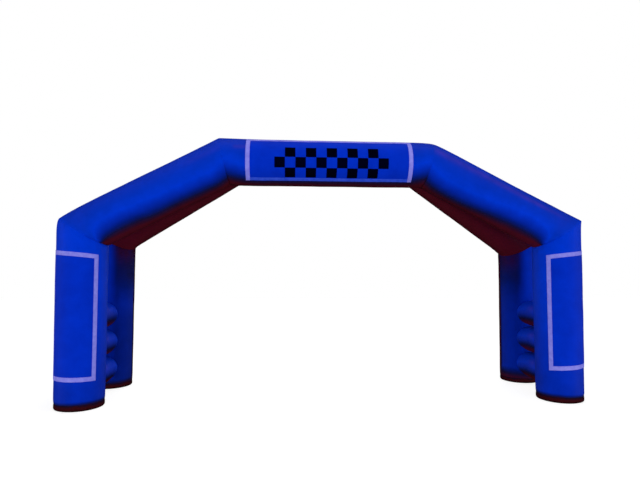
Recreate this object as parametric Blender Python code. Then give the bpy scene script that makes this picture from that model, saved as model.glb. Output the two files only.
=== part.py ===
"""Inflatable arch: seven round air tubes, braced legs, three banners and four base bands.

Metres, +Z up, +X to the right of someone facing the front, which looks along -Y.
The origin is on the ground, below the middle of the arch.
"""

import math
from dataclasses import dataclass

import bmesh
import bpy
from mathutils import Matrix, Vector

# Front frame, on the tubes' centre lines
TUBE_RADIUS = 0.264
FOOT_RADIUS = 0.251
SHOULDER_X = 3.0 - TUBE_RADIUS
SHOULDER_Z = 1.91
CORNER_X = 1.182
CORNER_Z = 2.72
FOOT_X = 2.696

# Rear legs and the struts that run from them to the crossbeam's corners
FRONT_Y = -0.52
REAR_SHOULDER_Y = FRONT_Y + 0.92
REAR_FOOT_X = 2.744
REAR_FOOT_Y = FRONT_Y + 1.05
STRUT_END_Y = FRONT_Y + 0.19
STRUT_DOME = 0.22

# Short rungs between the front and rear legs, a little towards the inner side of the legs
RUNG_RADIUS = 0.162
RUNG_INSET = 0.022
RUNG_HEIGHTS = (0.272, 0.606, 0.94)

# Sewn joins
SEAM_GAP = 0.0003
SEAM_DRAW = 0.018
SEAM_WIDTH = 0.06
BAND_HEIGHT = 0.065
BAND_EDGE = 0.022

# Banners, and the binding tape round their edges
BANNER_THICKNESS = 0.002
TAPE_THICKNESS = 0.0015
TAPE_WIDTH = 0.046
BEAM_BANNER_X = (-0.925, 0.955)
BEAM_BANNER_ANGLES = (-61, 60)
LEG_BANNER_HEIGHTS = {"right": (0.37, 1.678), "left": (0.309, 1.665)}
LEG_BANNER_ANGLES = {"right": (-53, 65), "left": (-58, 65)}
# How much the foot and head of a leg's banner rise for each degree towards the outer side
LEG_BANNER_RISES = {"right": (0.0004, 0.0006), "left": (0.0002, 0.0005)}

# Points round a tube, 10 degrees apart, with a flat facet straight ahead
TUBE_SIDES = 36
RUNG_SIDES = 24
FACET = 10

FORWARD = Vector((0, -1, 0))
UP = Vector((0, 0, 1))


def remove_all_objects():
    for old in list(bpy.data.objects):
        bpy.data.objects.remove(old, do_unlink=True)


# Materials


def cloth(name, colour, roughness):
    material = bpy.data.materials.new(name)
    material.use_nodes = True
    shader = material.node_tree.nodes["Principled BSDF"]
    shader.inputs["Base Color"].default_value = (*colour, 1)
    shader.inputs["Roughness"].default_value = roughness
    shader.inputs["Metallic"].default_value = 0
    return material


def tube_cloth(name):
    """Coated blue nylon, a little shiny."""
    return cloth(f"{name}_blue_cloth", (0.004, 0.03, 0.60), 0.42)


def banner_cloth(name):
    return cloth(f"{name}_banner_cloth", (0.003, 0.022, 0.46), 0.55)


def tape_cloth(name):
    return cloth(f"{name}_pale_tape", (0.27, 0.24, 0.72), 0.6)


def band_cloth(name):
    """Thicker dark red cloth that stands on the ground."""
    return cloth(f"{name}_maroon_cloth", (0.03, 0.003, 0.008), 0.6)


# Tubes


@dataclass
class Tube:
    """A straight tube between two points of its centre line, cut by a plane at each end."""

    start: Vector
    end: Vector
    start_cut: Vector
    end_cut: Vector
    start_radius: float = TUBE_RADIUS
    end_radius: float = TUBE_RADIUS

    def axis(self):
        return (self.end - self.start).normalized()

    def front(self):
        axis = self.axis()
        facing = FORWARD if abs(axis.dot(FORWARD)) < 0.9 else UP
        return (facing - axis * facing.dot(axis)).normalized()

    def spoke(self, angle):
        """The direction out of the tube at an angle in radians from its front."""
        front = self.front()
        return front * math.cos(angle) + self.axis().cross(front) * math.sin(angle)

    def taper(self):
        """How much the radius grows for each metre along the tube."""
        return (self.end_radius - self.start_radius) / (self.end - self.start).length

    def surface(self, distance, angle, lift):
        """The point at a distance along the axis, raised above the cloth by a lift."""
        reach = self.start_radius + self.taper() * distance + lift
        return self.start + self.axis() * distance + self.spoke(angle) * reach

    def cut_distances(self, angle, lift):
        """How far along the axis the line at this angle and lift meets each end plane."""
        distances = []
        for corner, cut in ((self.start, self.start_cut), (self.end, self.end_cut)):
            outward = self.spoke(angle).dot(cut)
            past = (corner - self.start).dot(cut) - (self.start_radius + lift) * outward
            distances.append(past / (self.axis().dot(cut) + self.taper() * outward))
        return distances


def seam_rings(at_start, gap=SEAM_GAP / 2):
    """Rings at a sewn end: (share of the length, distance past it, inward draw)."""
    rings = [
        (0, gap, SEAM_DRAW),
        (0, gap + 0.3 * SEAM_WIDTH, 0.35 * SEAM_DRAW),
        (0, gap + SEAM_WIDTH, 0.0),
    ]
    if at_start:
        return rings
    return [(1, -along, draw) for _, along, draw in reversed(rings)]


def dome_rings(radius, depth):
    """Rings that close an end with a round dome, out to a small flat tip."""
    steps = [math.radians(step) for step in (0, 20, 40, 58, 72, 82)]
    return [(1, depth * (math.sin(step) - 1), radius * (1 - math.cos(step))) for step in steps]


def barrel_rings():
    """Rings of a short fat tube that swells between its two sewn ends."""
    shares = (0, 0.22, 0.3, 0.4, 0.5, 0.6, 0.7, 0.78, 1)
    swell = 0.022
    return [(share, 0, swell * min(1, (2.6 * (share - 0.5)) ** 2)) for share in shares]


def only(kind, items):
    return [item for item in items if isinstance(item, kind)]


def face_outwards(shape):
    bmesh.ops.recalc_face_normals(shape, faces=shape.faces)
    if shape.calc_volume(signed=True) < 0:
        bmesh.ops.reverse_faces(shape, faces=shape.faces)


def tube_mesh(tube, rings, sides=TUBE_SIDES, lift=0.0):
    """A closed tube through the rings, with flat ends, raised by the lift all over."""
    shape = bmesh.new()
    bmesh.ops.create_circle(shape, segments=sides, radius=1)
    turn = Matrix.Rotation(math.pi / sides, 3, "Z")
    bmesh.ops.rotate(shape, matrix=turn, verts=shape.verts)
    loop = shape.edges[:]
    for _ in rings[1:]:
        raised = bmesh.ops.extrude_edge_only(shape, edges=loop)["geom"]
        bmesh.ops.translate(shape, verts=only(bmesh.types.BMVert, raised), vec=UP)
        loop = only(bmesh.types.BMEdge, raised)
    bmesh.ops.holes_fill(shape, edges=shape.edges, sides=sides)
    for vert in shape.verts:
        share, along, draw = rings[round(vert.co.z)]
        angle = math.atan2(vert.co.y, vert.co.x)
        first, last = tube.cut_distances(angle, lift - draw)
        distance = first + (last - first) * share + along
        vert.co = tube.surface(distance, angle, lift - draw)
    face_outwards(shape)
    return shape


def sheet_angles(low, high):
    """A sheet's two edges, and the corners between the tube's facets that it crosses."""
    corners = range(-180 + FACET // 2, 180, FACET)
    return [low, *(corner for corner in corners if low < corner < high), high]


def facet_depth(angle, radius):
    """How much nearer the axis a facet is at this angle than at its corners."""
    from_middle = math.radians(angle - FACET * round(angle / FACET))
    return radius * (1 - math.cos(math.radians(FACET / 2)) / math.cos(from_middle))


def sheet_mesh(tube, run, turn, lift, thickness):
    """A sheet wrapped round part of a tube, on the same facets as the tube.

    The run gives, for its foot and its head, the distance at angle 0 and the rise per degree.
    """
    angles = sheet_angles(*turn)
    shape = bmesh.new()
    bmesh.ops.create_grid(shape, x_segments=len(angles) - 1, y_segments=1, size=1)
    bmesh.ops.extrude_face_region(shape, geom=shape.faces[:])
    upper = set(list(shape.verts)[len(shape.verts) // 2 :])
    for vert in shape.verts:
        angle = angles[round((len(angles) - 1) * (vert.co.x + 1) / 2)]
        distance, rise = run[0] if vert.co.y < 0 else run[1]
        distance += rise * angle
        height = lift + thickness if vert in upper else lift
        radius = tube.start_radius + tube.taper() * distance
        depth = facet_depth(angle, radius)
        vert.co = tube.surface(distance, math.radians(angle), height - depth)
    face_outwards(shape)
    return shape


# Objects


def add_object(name, shape, material):
    data = bpy.data.meshes.new(name)
    shape.to_mesh(data)
    shape.free()
    data.shade_smooth()
    data.set_sharp_from_angle(angle=math.radians(35))
    data.materials.append(material)
    piece = bpy.data.objects.new(name, data)
    bpy.context.collection.objects.link(piece)
    return piece


def mirrored(shape):
    """The same shape on the other side of the arch."""
    bmesh.ops.scale(shape, vec=(-1, 1, 1), verts=shape.verts)
    bmesh.ops.reverse_faces(shape, faces=shape.faces)
    return shape


def add_pair(name, shape, material, cutters=()):
    right = add_object(f"{name}_right", shape, material)
    for cutter in cutters:
        cut_away(right, cutter)
    whole = bmesh.new()
    whole.from_object(right, bpy.context.evaluated_depsgraph_get())
    add_object(f"{name}_left", mirrored(whole), material)


def add_cutter(name, tube, rings):
    """A hidden copy of a tube, larger by the gap that neighbouring cloth keeps."""
    shape = tube_mesh(tube, rings, lift=SEAM_GAP)
    cutter = add_object(name, shape, bpy.data.materials.new(name))
    cutter.hide_render = True
    cutter.display_type = "WIRE"
    return cutter


def cut_away(piece, cutter):
    cut = piece.modifiers.new(cutter.name, "BOOLEAN")
    cut.operation = "DIFFERENCE"
    cut.solver = "EXACT"
    cut.object = cutter


def mitre(before, corner, after):
    """The normal of the plane that halves the angle at a corner."""
    return ((corner - before).normalized() + (after - corner).normalized()).normalized()


# The right-hand half's centre lines


foot = Vector((FOOT_X, FRONT_Y, 0))
shoulder = Vector((SHOULDER_X, FRONT_Y, SHOULDER_Z))
corner = Vector((CORNER_X, FRONT_Y, CORNER_Z))
far_corner = Vector((-CORNER_X, FRONT_Y, CORNER_Z))
rear_foot = Vector((REAR_FOOT_X, REAR_FOOT_Y, 0))
rear_shoulder = Vector((SHOULDER_X, REAR_SHOULDER_Y, SHOULDER_Z))
strut_end = Vector((CORNER_X, STRUT_END_Y, CORNER_Z))

shoulder_cut = mitre(foot, shoulder, corner)
corner_cut = mitre(shoulder, corner, far_corner)
far_corner_cut = Vector((-corner_cut.x, corner_cut.y, corner_cut.z))
rear_cut = mitre(rear_foot, rear_shoulder, strut_end)
strut_tip = strut_end + (strut_end - rear_shoulder).normalized() * STRUT_DOME
strut_line = (strut_tip - rear_shoulder).normalized()

crossbeam = Tube(far_corner, corner, far_corner_cut, corner_cut)
diagonal = Tube(shoulder, corner, shoulder_cut, corner_cut)
front_leg = Tube(foot, shoulder, UP, shoulder_cut, FOOT_RADIUS, TUBE_RADIUS)
rear_leg = Tube(rear_foot, rear_shoulder, UP, rear_cut, FOOT_RADIUS, TUBE_RADIUS)
strut = Tube(rear_shoulder, strut_tip, rear_cut, strut_line)


def leg_rings():
    """A leg starts on top of its base band, drawn in by the seam there."""
    above_band = [
        (0, BAND_HEIGHT + SEAM_GAP, 0.004),
        (0, BAND_HEIGHT + 0.03, 0.0),
    ]
    return above_band + seam_rings(at_start=False)


def band_rings():
    """The base band: flat underneath, with a rounded bottom edge."""
    return [
        (0, 0, BAND_EDGE),
        (0, 0.3 * BAND_EDGE, 0.4 * BAND_EDGE),
        (0, BAND_EDGE, 0.1 * BAND_EDGE),
        (0, 0.55 * BAND_HEIGHT, 0.0),
        (0, BAND_HEIGHT, 0.004),
    ]


def add_front_frame():
    both_seams = seam_rings(at_start=True) + seam_rings(at_start=False)
    add_object("crossbeam", tube_mesh(crossbeam, both_seams), tube_cloth("crossbeam"))
    add_pair("front_diagonal", tube_mesh(diagonal, both_seams), tube_cloth("front_diagonal"))
    add_pair("front_leg", tube_mesh(front_leg, leg_rings()), tube_cloth("front_leg"))
    add_pair("front_foot", tube_mesh(front_leg, band_rings()), band_cloth("front_foot"))


def add_rear_frame():
    """The rear legs, and the struts that die into the back of the front frame."""
    past_seam = -SEAM_GAP
    reaching = seam_rings(True, past_seam) + seam_rings(False, past_seam)
    cutters = [
        add_cutter("cut_for_diagonal", diagonal, reaching),
        add_cutter("cut_for_crossbeam", crossbeam, reaching),
    ]
    rings = seam_rings(at_start=True) + dome_rings(TUBE_RADIUS, STRUT_DOME)
    add_pair("rear_strut", tube_mesh(strut, rings), tube_cloth("rear_strut"), cutters)
    add_pair("rear_leg", tube_mesh(rear_leg, leg_rings()), tube_cloth("rear_leg"))
    add_pair("rear_foot", tube_mesh(rear_leg, band_rings()), band_cloth("rear_foot"))


def add_rungs():
    """Short tubes, each sewn to the back of a front leg and the front of a rear leg."""
    cutters = [
        add_cutter("cut_for_front_leg", front_leg, leg_rings()),
        add_cutter("cut_for_rear_leg", rear_leg, leg_rings()),
    ]
    for number, height in enumerate(RUNG_HEIGHTS, start=1):
        share = height / SHOULDER_Z
        inset = Vector((-RUNG_INSET, 0, 0))
        front_end = foot.lerp(shoulder, share) + inset
        rear_end = rear_foot.lerp(rear_shoulder, share) + inset
        line = (rear_end - front_end).normalized()
        rung = Tube(front_end, rear_end, line, line, RUNG_RADIUS, RUNG_RADIUS)
        shape = tube_mesh(rung, barrel_rings(), RUNG_SIDES)
        add_pair(f"rung_{number}", shape, tube_cloth(f"rung_{number}"), cutters)


def banner_parts(tube, ends, rises, angles):
    """The banner's shape and its four tapes' shapes, by name."""
    (foot, head), (foot_rise, head_rise) = ends, rises
    low, high = angles
    tape_angle = math.degrees(TAPE_WIDTH / TUBE_RADIUS)
    inner_foot = (foot + TAPE_WIDTH + SEAM_GAP, foot_rise)
    inner_head = (head - TAPE_WIDTH - SEAM_GAP, head_rise)
    foot_tape = ((foot, foot_rise), (foot + TAPE_WIDTH, foot_rise))
    head_tape = ((head - TAPE_WIDTH, head_rise), (head, head_rise))
    strips = {
        "tape_foot": (foot_tape, angles),
        "tape_head": (head_tape, angles),
        "tape_low": ((inner_foot, inner_head), (low, low + tape_angle)),
        "tape_high": ((inner_foot, inner_head), (high - tape_angle, high)),
    }
    whole = ((foot, foot_rise), (head, head_rise))
    banner = sheet_mesh(tube, whole, angles, SEAM_GAP, BANNER_THICKNESS)
    lift = SEAM_GAP + BANNER_THICKNESS + SEAM_GAP
    tapes = {
        name: sheet_mesh(tube, run, turn, lift, TAPE_THICKNESS)
        for name, (run, turn) in strips.items()
    }
    return banner, tapes


def add_banners():
    beam_ends = tuple(x + CORNER_X for x in BEAM_BANNER_X)
    banner, tapes = banner_parts(crossbeam, beam_ends, (0, 0), BEAM_BANNER_ANGLES)
    add_object("beam_banner", banner, banner_cloth("beam"))
    for name, shape in tapes.items():
        add_object(f"beam_{name}", shape, tape_cloth(f"beam_{name}"))
    for side, ends in LEG_BANNER_HEIGHTS.items():
        rises, angles = LEG_BANNER_RISES[side], LEG_BANNER_ANGLES[side]
        banner, tapes = banner_parts(front_leg, ends, rises, angles)
        shapes = {"banner": banner, **tapes}
        for name, shape in shapes.items():
            placed = mirrored(shape) if side == "left" else shape
            material = banner_cloth if name == "banner" else tape_cloth
            add_object(f"leg_{name}_{side}", placed, material(f"leg_{name}_{side}"))


remove_all_objects()
add_front_frame()
add_rear_frame()
add_rungs()
add_banners()
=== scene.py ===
"""An inflatable race arch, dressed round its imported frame.

Metres, +Z up. The front looks along -Y, and the origin is on the ground below the middle.
"""

import math
from dataclasses import dataclass

import bmesh
import bpy
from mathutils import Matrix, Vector, noise


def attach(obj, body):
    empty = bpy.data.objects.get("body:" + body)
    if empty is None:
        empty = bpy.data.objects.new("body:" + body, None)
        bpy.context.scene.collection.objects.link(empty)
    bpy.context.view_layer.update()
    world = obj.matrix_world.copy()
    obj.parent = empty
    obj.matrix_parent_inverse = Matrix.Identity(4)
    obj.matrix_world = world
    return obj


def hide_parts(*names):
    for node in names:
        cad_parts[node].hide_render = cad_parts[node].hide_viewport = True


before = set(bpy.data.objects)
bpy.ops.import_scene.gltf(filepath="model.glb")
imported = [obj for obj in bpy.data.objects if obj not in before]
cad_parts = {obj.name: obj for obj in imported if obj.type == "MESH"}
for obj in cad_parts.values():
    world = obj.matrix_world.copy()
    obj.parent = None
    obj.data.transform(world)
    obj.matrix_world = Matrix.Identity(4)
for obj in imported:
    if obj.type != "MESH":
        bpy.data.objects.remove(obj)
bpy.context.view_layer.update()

# The camera.
# A standing person's view, a little left of the middle and a few paces in front of the arch.

EYE = Vector((-0.423, -5.893, 1.357))
LENS_MM = 26.35
EYE_TURN = math.radians(-3.63)
EYE_RISE = math.radians(4.99)

camera_data = bpy.data.cameras.new("camera")
camera_data.lens = LENS_MM
camera_data.clip_end = 200
camera = bpy.data.objects.new("camera", camera_data)
camera.location = EYE
camera.rotation_euler = (math.pi / 2 + EYE_RISE, 0, EYE_TURN)
bpy.context.scene.collection.objects.link(camera)
bpy.context.scene.camera = camera

# The studio.
# A seamless pale floor that glows a little, three broad lamps in front and at both sides, dimmer
# ones behind and overhead, and a faint white tent all round, so that the undersides stay dark.


def linear(hex_colour):
    """An sRGB hex colour as linear red, green, blue and alpha."""
    parts = [int(hex_colour[place : place + 2], 16) / 255 for place in (1, 3, 5)]
    return (*((part / 12.92 if part < 0.04045 else ((part + 0.055) / 1.055) ** 2.4) for part in parts), 1)


def add_node(tree, kind, inputs=None, stops=(), **settings):
    """A node with its settings. An input takes a value, or the socket or the node that feeds it.

    The stops are a colour ramp's, each one a position and a colour, in rising order.
    """
    node = tree.nodes.new(kind)
    for name, value in settings.items():
        setattr(node, name, value)
    for number, (position, colour) in enumerate(stops):
        elements = node.color_ramp.elements
        stop = elements[number] if number < 2 else elements.new(position)
        stop.position, stop.color = position, colour
    for name, value in (inputs or {}).items():
        if isinstance(value, bpy.types.Node):
            tree.links.new(value.outputs[0], node.inputs[name])
        elif isinstance(value, bpy.types.NodeSocket):
            tree.links.new(value, node.inputs[name])
        else:
            node.inputs[name].default_value = value
    return node


def blank_material(name):
    material = bpy.data.materials.new(name)
    material.use_nodes = True
    material.node_tree.nodes.clear()
    return material


FLOOR_SIZE = 60
FLOOR_GLOW = 0.86
FRONT_LAMP = {"energy": 1.2, "rise": 6, "turn": 3, "spread": 26}
SIDE_LAMP = {"energy": 0.85, "rise": 2, "spread": 50}
SIDE_LAMP_TURN = 62
BACK_LAMP = {"energy": 0.7, "rise": -25, "turn": 160, "spread": 40}
TOP_LAMP_WATTS = 170
TOP_LAMP_SIZE = (9, 5)
TOP_LAMP_PLACE = (0, -1.0, 7.5)
TENT_GLOW = ((0.0, 0.28), (0.42, 0.40), (0.5, 0.5), (0.6, 0.36), (0.75, 0.24), (1.0, 0.16))

paper = blank_material("seamless_paper_matt")
tree = paper.node_tree
matt = add_node(tree, "ShaderNodeBsdfDiffuse", {"Color": linear("#B4B4B2")})
glow = add_node(tree, "ShaderNodeEmission", {"Color": linear("#FFFFFF"), "Strength": FLOOR_GLOW})
both = add_node(tree, "ShaderNodeAddShader", {0: matt, 1: glow})
add_node(tree, "ShaderNodeOutputMaterial", {"Surface": both})

shape = bmesh.new()
bmesh.ops.create_grid(shape, x_segments=1, y_segments=1, size=FLOOR_SIZE / 2)
floor_data = bpy.data.meshes.new("floor")
shape.to_mesh(floor_data)
shape.free()
floor_data.materials.append(paper)
floor = bpy.data.objects.new("floor", floor_data)
floor.visible_diffuse = False
floor.visible_glossy = False
floor.visible_shadow = False
bpy.context.scene.collection.objects.link(floor)


def add_broad_lamp(name, energy, rise, turn, spread):
    """A lamp far away, as broad as its spread in degrees. Its rise is how far its light climbs."""
    data = bpy.data.lights.new(name, "SUN")
    data.energy = energy
    data.angle = math.radians(spread)
    lamp = bpy.data.objects.new(name, data)
    lamp.rotation_euler = (math.radians(90 + rise), 0, math.radians(turn))
    bpy.context.scene.collection.objects.link(lamp)
    return lamp


add_broad_lamp("front_lamp", **FRONT_LAMP)
add_broad_lamp("left_lamp", turn=-SIDE_LAMP_TURN, **SIDE_LAMP).visible_glossy = False
add_broad_lamp("right_lamp", turn=SIDE_LAMP_TURN, **SIDE_LAMP).visible_glossy = False
add_broad_lamp("back_lamp", **BACK_LAMP).visible_glossy = False

top_lamp_data = bpy.data.lights.new("top_lamp", "AREA")
top_lamp_data.shape = "RECTANGLE"
top_lamp_data.size, top_lamp_data.size_y = TOP_LAMP_SIZE
top_lamp_data.energy = TOP_LAMP_WATTS
top_lamp = bpy.data.objects.new("top_lamp", top_lamp_data)
top_lamp.location = TOP_LAMP_PLACE
top_lamp.visible_glossy = False
bpy.context.scene.collection.objects.link(top_lamp)

sky = bpy.data.worlds.new("studio")
sky.use_nodes = True
tree = sky.node_tree
tree.nodes.clear()
path = add_node(tree, "ShaderNodeLightPath")
ray = add_node(tree, "ShaderNodeTexCoord")
height = add_node(tree, "ShaderNodeSeparateXYZ", {0: ray.outputs["Generated"]})
share = add_node(tree, "ShaderNodeMapRange", {"Value": height.outputs["Z"], "From Min": -1, "From Max": 1})
greys = [(position, (level, level, level, 1)) for position, level in TENT_GLOW]
walls = add_node(tree, "ShaderNodeValToRGB", {"Fac": share}, greys)
seen = add_node(
    tree,
    "ShaderNodeMix",
    {"Factor": path.outputs["Is Camera Ray"], "A": walls, "B": 1.0},
    data_type="FLOAT",
)
background = add_node(tree, "ShaderNodeBackground", {"Color": linear("#FFFFFF"), "Strength": seen})
add_node(tree, "ShaderNodeOutputWorld", {"Surface": background})
bpy.context.scene.world = sky
sky.cycles_visibility.glossy = False
bpy.context.scene.view_settings.view_transform = "Standard"

# The front frame: crossbeam, two diagonals and two legs.
# Round air tubes of coated nylon, about half a metre across. Each is sewn into the next along a
# mitre, where the cloth is gathered into pleats, and has a maroon panel let in along its underside,
# whose maroon is painted shade.

TUBE_RADIUS = 0.264
FOOT_RADIUS = 0.251
FRONT_Y = -0.52
SHOULDER = Vector((3.0 - TUBE_RADIUS, FRONT_Y, 1.91))
CORNER = Vector((1.182, FRONT_Y, 2.72))
FOOT = Vector((2.696, FRONT_Y, 0))
BAND_HEIGHT = 0.065

FORWARD = Vector((0, -1, 0))
DOWN = Vector((0, 0, -1))
UP = Vector((0, 0, 1))
RIGHT = Vector((1, 0, 0))

SEAM_GAP = 0.0003
SEAM_DRAW = 0.008
SEAM_WIDTH = 0.012
PLEATS = ((0.0060, 21, 2, 0.028), (0.0085, 8, 1, 0.085), (0.0050, 4, -1, 0.22))
BUCKLES = (0.0050, 74, 0.09)
WAVES = ((0.0022, 2.4), (0.0010, 7.0))  # heights, and how many in about a metre
SWELL = 0.0015  # under pressure, away from the seams
SWELL_REACH = 0.05
RELIEF_LIMIT = 0.04  # a point further than this from the nominal tube is judged without relief
SHARP_DEGREES = 55
SIDES = 144
RING_SPACING = 0.0125
SIDE_SIGNS = {"left": -1, "right": 1}


def on_side(point, sign):
    """A point of the right-hand half, or its mirror image on the left."""
    return Vector((sign * point.x, point.y, point.z))


def mitre(before, corner, after):
    """The normal of the plane that halves the angle at a corner."""
    return ((corner - before).normalized() + (after - corner).normalized()).normalized()


def puff(phase):
    """Cloth between two stitched-down creases, round on top and narrow between, 0 on average."""
    return abs(math.sin(phase)) - 2 / math.pi


@dataclass
class Tube:
    """A straight air tube, cut by a plane at each end.

    Angles are in radians from the side that looks the way of `facing`, and grow towards `aside`.
    """

    start: Vector
    end: Vector
    start_cut: Vector
    end_cut: Vector
    aside: Vector
    seed: float
    start_radius: float = TUBE_RADIUS
    end_radius: float = TUBE_RADIUS
    facing: Vector = FORWARD
    start_pleats: float = 1.0
    end_pleats: float = 1.0
    start_draw: float = SEAM_DRAW
    end_draw: float = SEAM_DRAW
    start_bend: tuple = (0, 0, 1)
    end_bend: tuple = (0, 0, 1)

    def __post_init__(self):
        self.length = (self.end - self.start).length
        self.axis = (self.end - self.start).normalized()
        self.front = (self.facing - self.axis * self.facing.dot(self.axis)).normalized()
        across = self.axis.cross(self.front)
        self.side = across if across.dot(self.aside) > 0 else -across
        self.taper = (self.end_radius - self.start_radius) / self.length

    def spoke(self, angle):
        return self.front * math.cos(angle) + self.side * math.sin(angle)

    def radius(self, distance):
        return self.start_radius + self.taper * distance

    def surface(self, distance, angle, lift):
        """The point at a distance along the axis, raised above the nominal tube by a lift."""
        return self.start + self.axis * distance + self.spoke(angle) * (self.radius(distance) + lift)

    def inward(self, angle, cut):
        """1 on the side that a leaning cut shortens at the end, -1 opposite, 0 on a straight cut."""
        lean = (cut - self.axis * cut.dot(self.axis)).length
        return self.spoke(angle).dot(cut) / lean if lean > 0.05 else 0

    def seam_depths(self, angle):
        """How far each sewn end is drawn in.

        The first pair is the seam's own crease, deepest on the inner side of a bend. The second
        comes from each bend's own shape: how far its outer and its inner side are drawn in, or
        bulge where that is less than 0, and over what distance.
        """
        inner = (-self.inward(angle, self.start_cut), self.inward(angle, self.end_cut))
        draws = (self.start_draw, self.end_draw)
        sewn = [draw * (0.2 + 0.8 * max(0, side)) if side else draw for draw, side in zip(draws, inner)]
        bends = zip((self.start_bend, self.end_bend), inner)
        return sewn, [out * max(0, -side) ** 3 + into * max(0, side) ** 3 for (out, into, _), side in bends]

    def plane_distance(self, angle, corner, cut, depth):
        """How far along the axis the line at this angle and depth meets an end plane."""
        outward = self.spoke(angle).dot(cut)
        past = (corner - self.start).dot(cut) - (self.start_radius - depth) * outward
        return past / (self.axis.dot(cut) + self.taper * outward)

    def run(self, angle):
        """The distances between which the line at this angle shows."""
        sewn, bent = self.seam_depths(angle)
        first = self.plane_distance(angle, self.start, self.start_cut, sewn[0] + bent[0])
        last = self.plane_distance(angle, self.end, self.end_cut, sewn[1] + bent[1])
        return first + SEAM_GAP / 2, last - SEAM_GAP / 2

    def gather(self, past, angle, inside, strength):
        """The relief of cloth near a seam, where many small pleats run into a few large ones.

        Pleats are given by height, number in half a turn, wander and reach, and the buckles on
        the inner side of a bend by height, radians of phase to the metre, and reach.
        """
        around = Vector((math.cos(angle), math.sin(angle), 0)) * 1.6
        drift = 2.4 * noise.noise(around + Vector((0, 0, self.seed)))
        depth = 0.55 + 0.6 * noise.noise(around * 2.1 + Vector((0, 0, self.seed + 7)))
        free = 1 - math.exp(-past / SEAM_WIDTH)
        pleats = sum(
            height * puff(number * angle + wander * drift) * math.exp(-past / reach)
            for height, number, wander, reach in PLEATS
        )
        height, rate, reach = BUCKLES
        buckles = height * math.cos(past * rate + drift) * math.exp(-past / reach) * max(0, inside) ** 2
        return strength * free * depth * ((0.55 + 0.45 * inside) * pleats + buckles)

    def relief(self, distance, angle):
        """How far the cloth stands above the nominal tube."""
        first, last = self.run(angle)
        after, before = max(0, distance - first), max(0, last - distance)
        sewn, bent = self.seam_depths(angle)
        draw = sewn[0] * math.exp(-after / SEAM_WIDTH) + sewn[1] * math.exp(-before / SEAM_WIDTH)
        draw += bent[0] * math.exp(-after / self.start_bend[2])
        draw += bent[1] * math.exp(-before / self.end_bend[2])
        free = (1 - math.exp(-after / SWELL_REACH)) * (1 - math.exp(-before / SWELL_REACH))
        place = self.surface(distance, angle, 0)
        shift = Vector((0, 0, self.seed))
        wave = sum(height * noise.noise(place * scale + shift) for height, scale in WAVES)
        relief = SWELL * free - draw + free * wave
        relief += self.gather(after, angle, -self.inward(angle, self.start_cut), self.start_pleats)
        relief += self.gather(before, angle + 1, self.inward(angle, self.end_cut), self.end_pleats)
        return relief

    def holds(self, point, gap):
        """True if the point is inside the tube's cloth, or nearer to it than the gap."""
        if (point - self.start).dot(self.start_cut) < 0 or (point - self.end).dot(self.end_cut) > 0:
            return False
        distance = (point - self.start).dot(self.axis)
        out = point - self.start - self.axis * distance
        depth = self.radius(distance) - out.length
        if abs(depth) > RELIEF_LIMIT:
            return depth > 0
        angle = math.atan2(out.dot(self.side), out.dot(self.front))
        return depth + self.relief(distance, angle) + gap > 0


def only(kind, items):
    return [item for item in items if isinstance(item, kind)]


def add_piece(name, shape, material):
    """An object on the body that everything rides on, smooth but for its sharp edges."""
    data = bpy.data.meshes.new(name)
    shape.to_mesh(data)
    shape.free()
    data.shade_smooth()
    data.set_sharp_from_angle(angle=math.radians(SHARP_DEGREES))
    data.materials.append(material)
    piece = bpy.data.objects.new(name, data)
    bpy.context.scene.collection.objects.link(piece)
    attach(piece, "root")
    return piece


def name_places(shape, places):
    """Gives each corner of each face its place on the cut cloth, in metres round and along."""
    uv = shape.loops.layers.uv.new("cloth")
    for face in shape.faces:
        turns = [places[loop.vert.index][0] for loop in face.loops]
        wraps = max(turns) - min(turns) > math.pi
        for loop, turn in zip(face.loops, turns):
            whole = turn + 2 * math.pi if wraps and turn < 0 else turn
            loop[uv].uv = (whole * TUBE_RADIUS, places[loop.vert.index][1])


def stacked_rings(count, sides=SIDES):
    """Joined rings round the Z axis, each at the height of its number, with both ends closed."""
    shape = bmesh.new()
    bmesh.ops.create_circle(shape, segments=sides, radius=1)
    loop = shape.edges[:]
    for _ in range(count - 1):
        raised = bmesh.ops.extrude_edge_only(shape, edges=loop)["geom"]
        bmesh.ops.translate(shape, verts=only(bmesh.types.BMVert, raised), vec=UP)
        loop = only(bmesh.types.BMEdge, raised)
    bmesh.ops.holes_fill(shape, edges=shape.edges, sides=sides)
    shape.verts.index_update()
    return shape


def ring_shares(count):
    """Shares of a length from 0 to 1, closer together towards both ends."""
    steps = [ring / (count - 1) for ring in range(count)]
    return [0.62 * step + 0.38 * (1 - math.cos(math.pi * step)) / 2 for step in steps]


def face_outwards(shape):
    bmesh.ops.recalc_face_normals(shape, faces=shape.faces)
    if shape.calc_volume(signed=True) < 0:
        bmesh.ops.reverse_faces(shape, faces=shape.faces)


def past_panel(angle, middle, half_width):
    """How many degrees an angle lies past the seam of a maroon panel of painted shade, less than 0 outside
    it.
    """
    return half_width - abs((angle - middle + 180) % 360 - 180)


def place_cloth(shape, place_of, panel, streak=None):
    """Moves each point of stacked rings to its place, and writes what the material reads there.

    place_of gives the distance and angle on the tube, and the point in space. panel gives how far each
    point lies past the seam of the painted shade.
    """
    past_seam = shape.verts.layers.float.new("past_seam")
    # Streaks, painted highlights and painted shade, mixed into the cloth in its streak colour.
    streak_and_painted_light = shape.verts.layers.float.new("streak_and_painted_light")
    places = []
    for vert in shape.verts:
        distance, angle, point = place_of(round(vert.co.z), math.atan2(vert.co.y, vert.co.x))
        vert[past_seam] = panel(distance, math.degrees(angle))
        vert[streak_and_painted_light] = streak(distance, math.degrees(angle)) if streak else 0
        vert.co = point
        places.append((angle, distance))
    name_places(shape, places)
    face_outwards(shape)
    return shape


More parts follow.
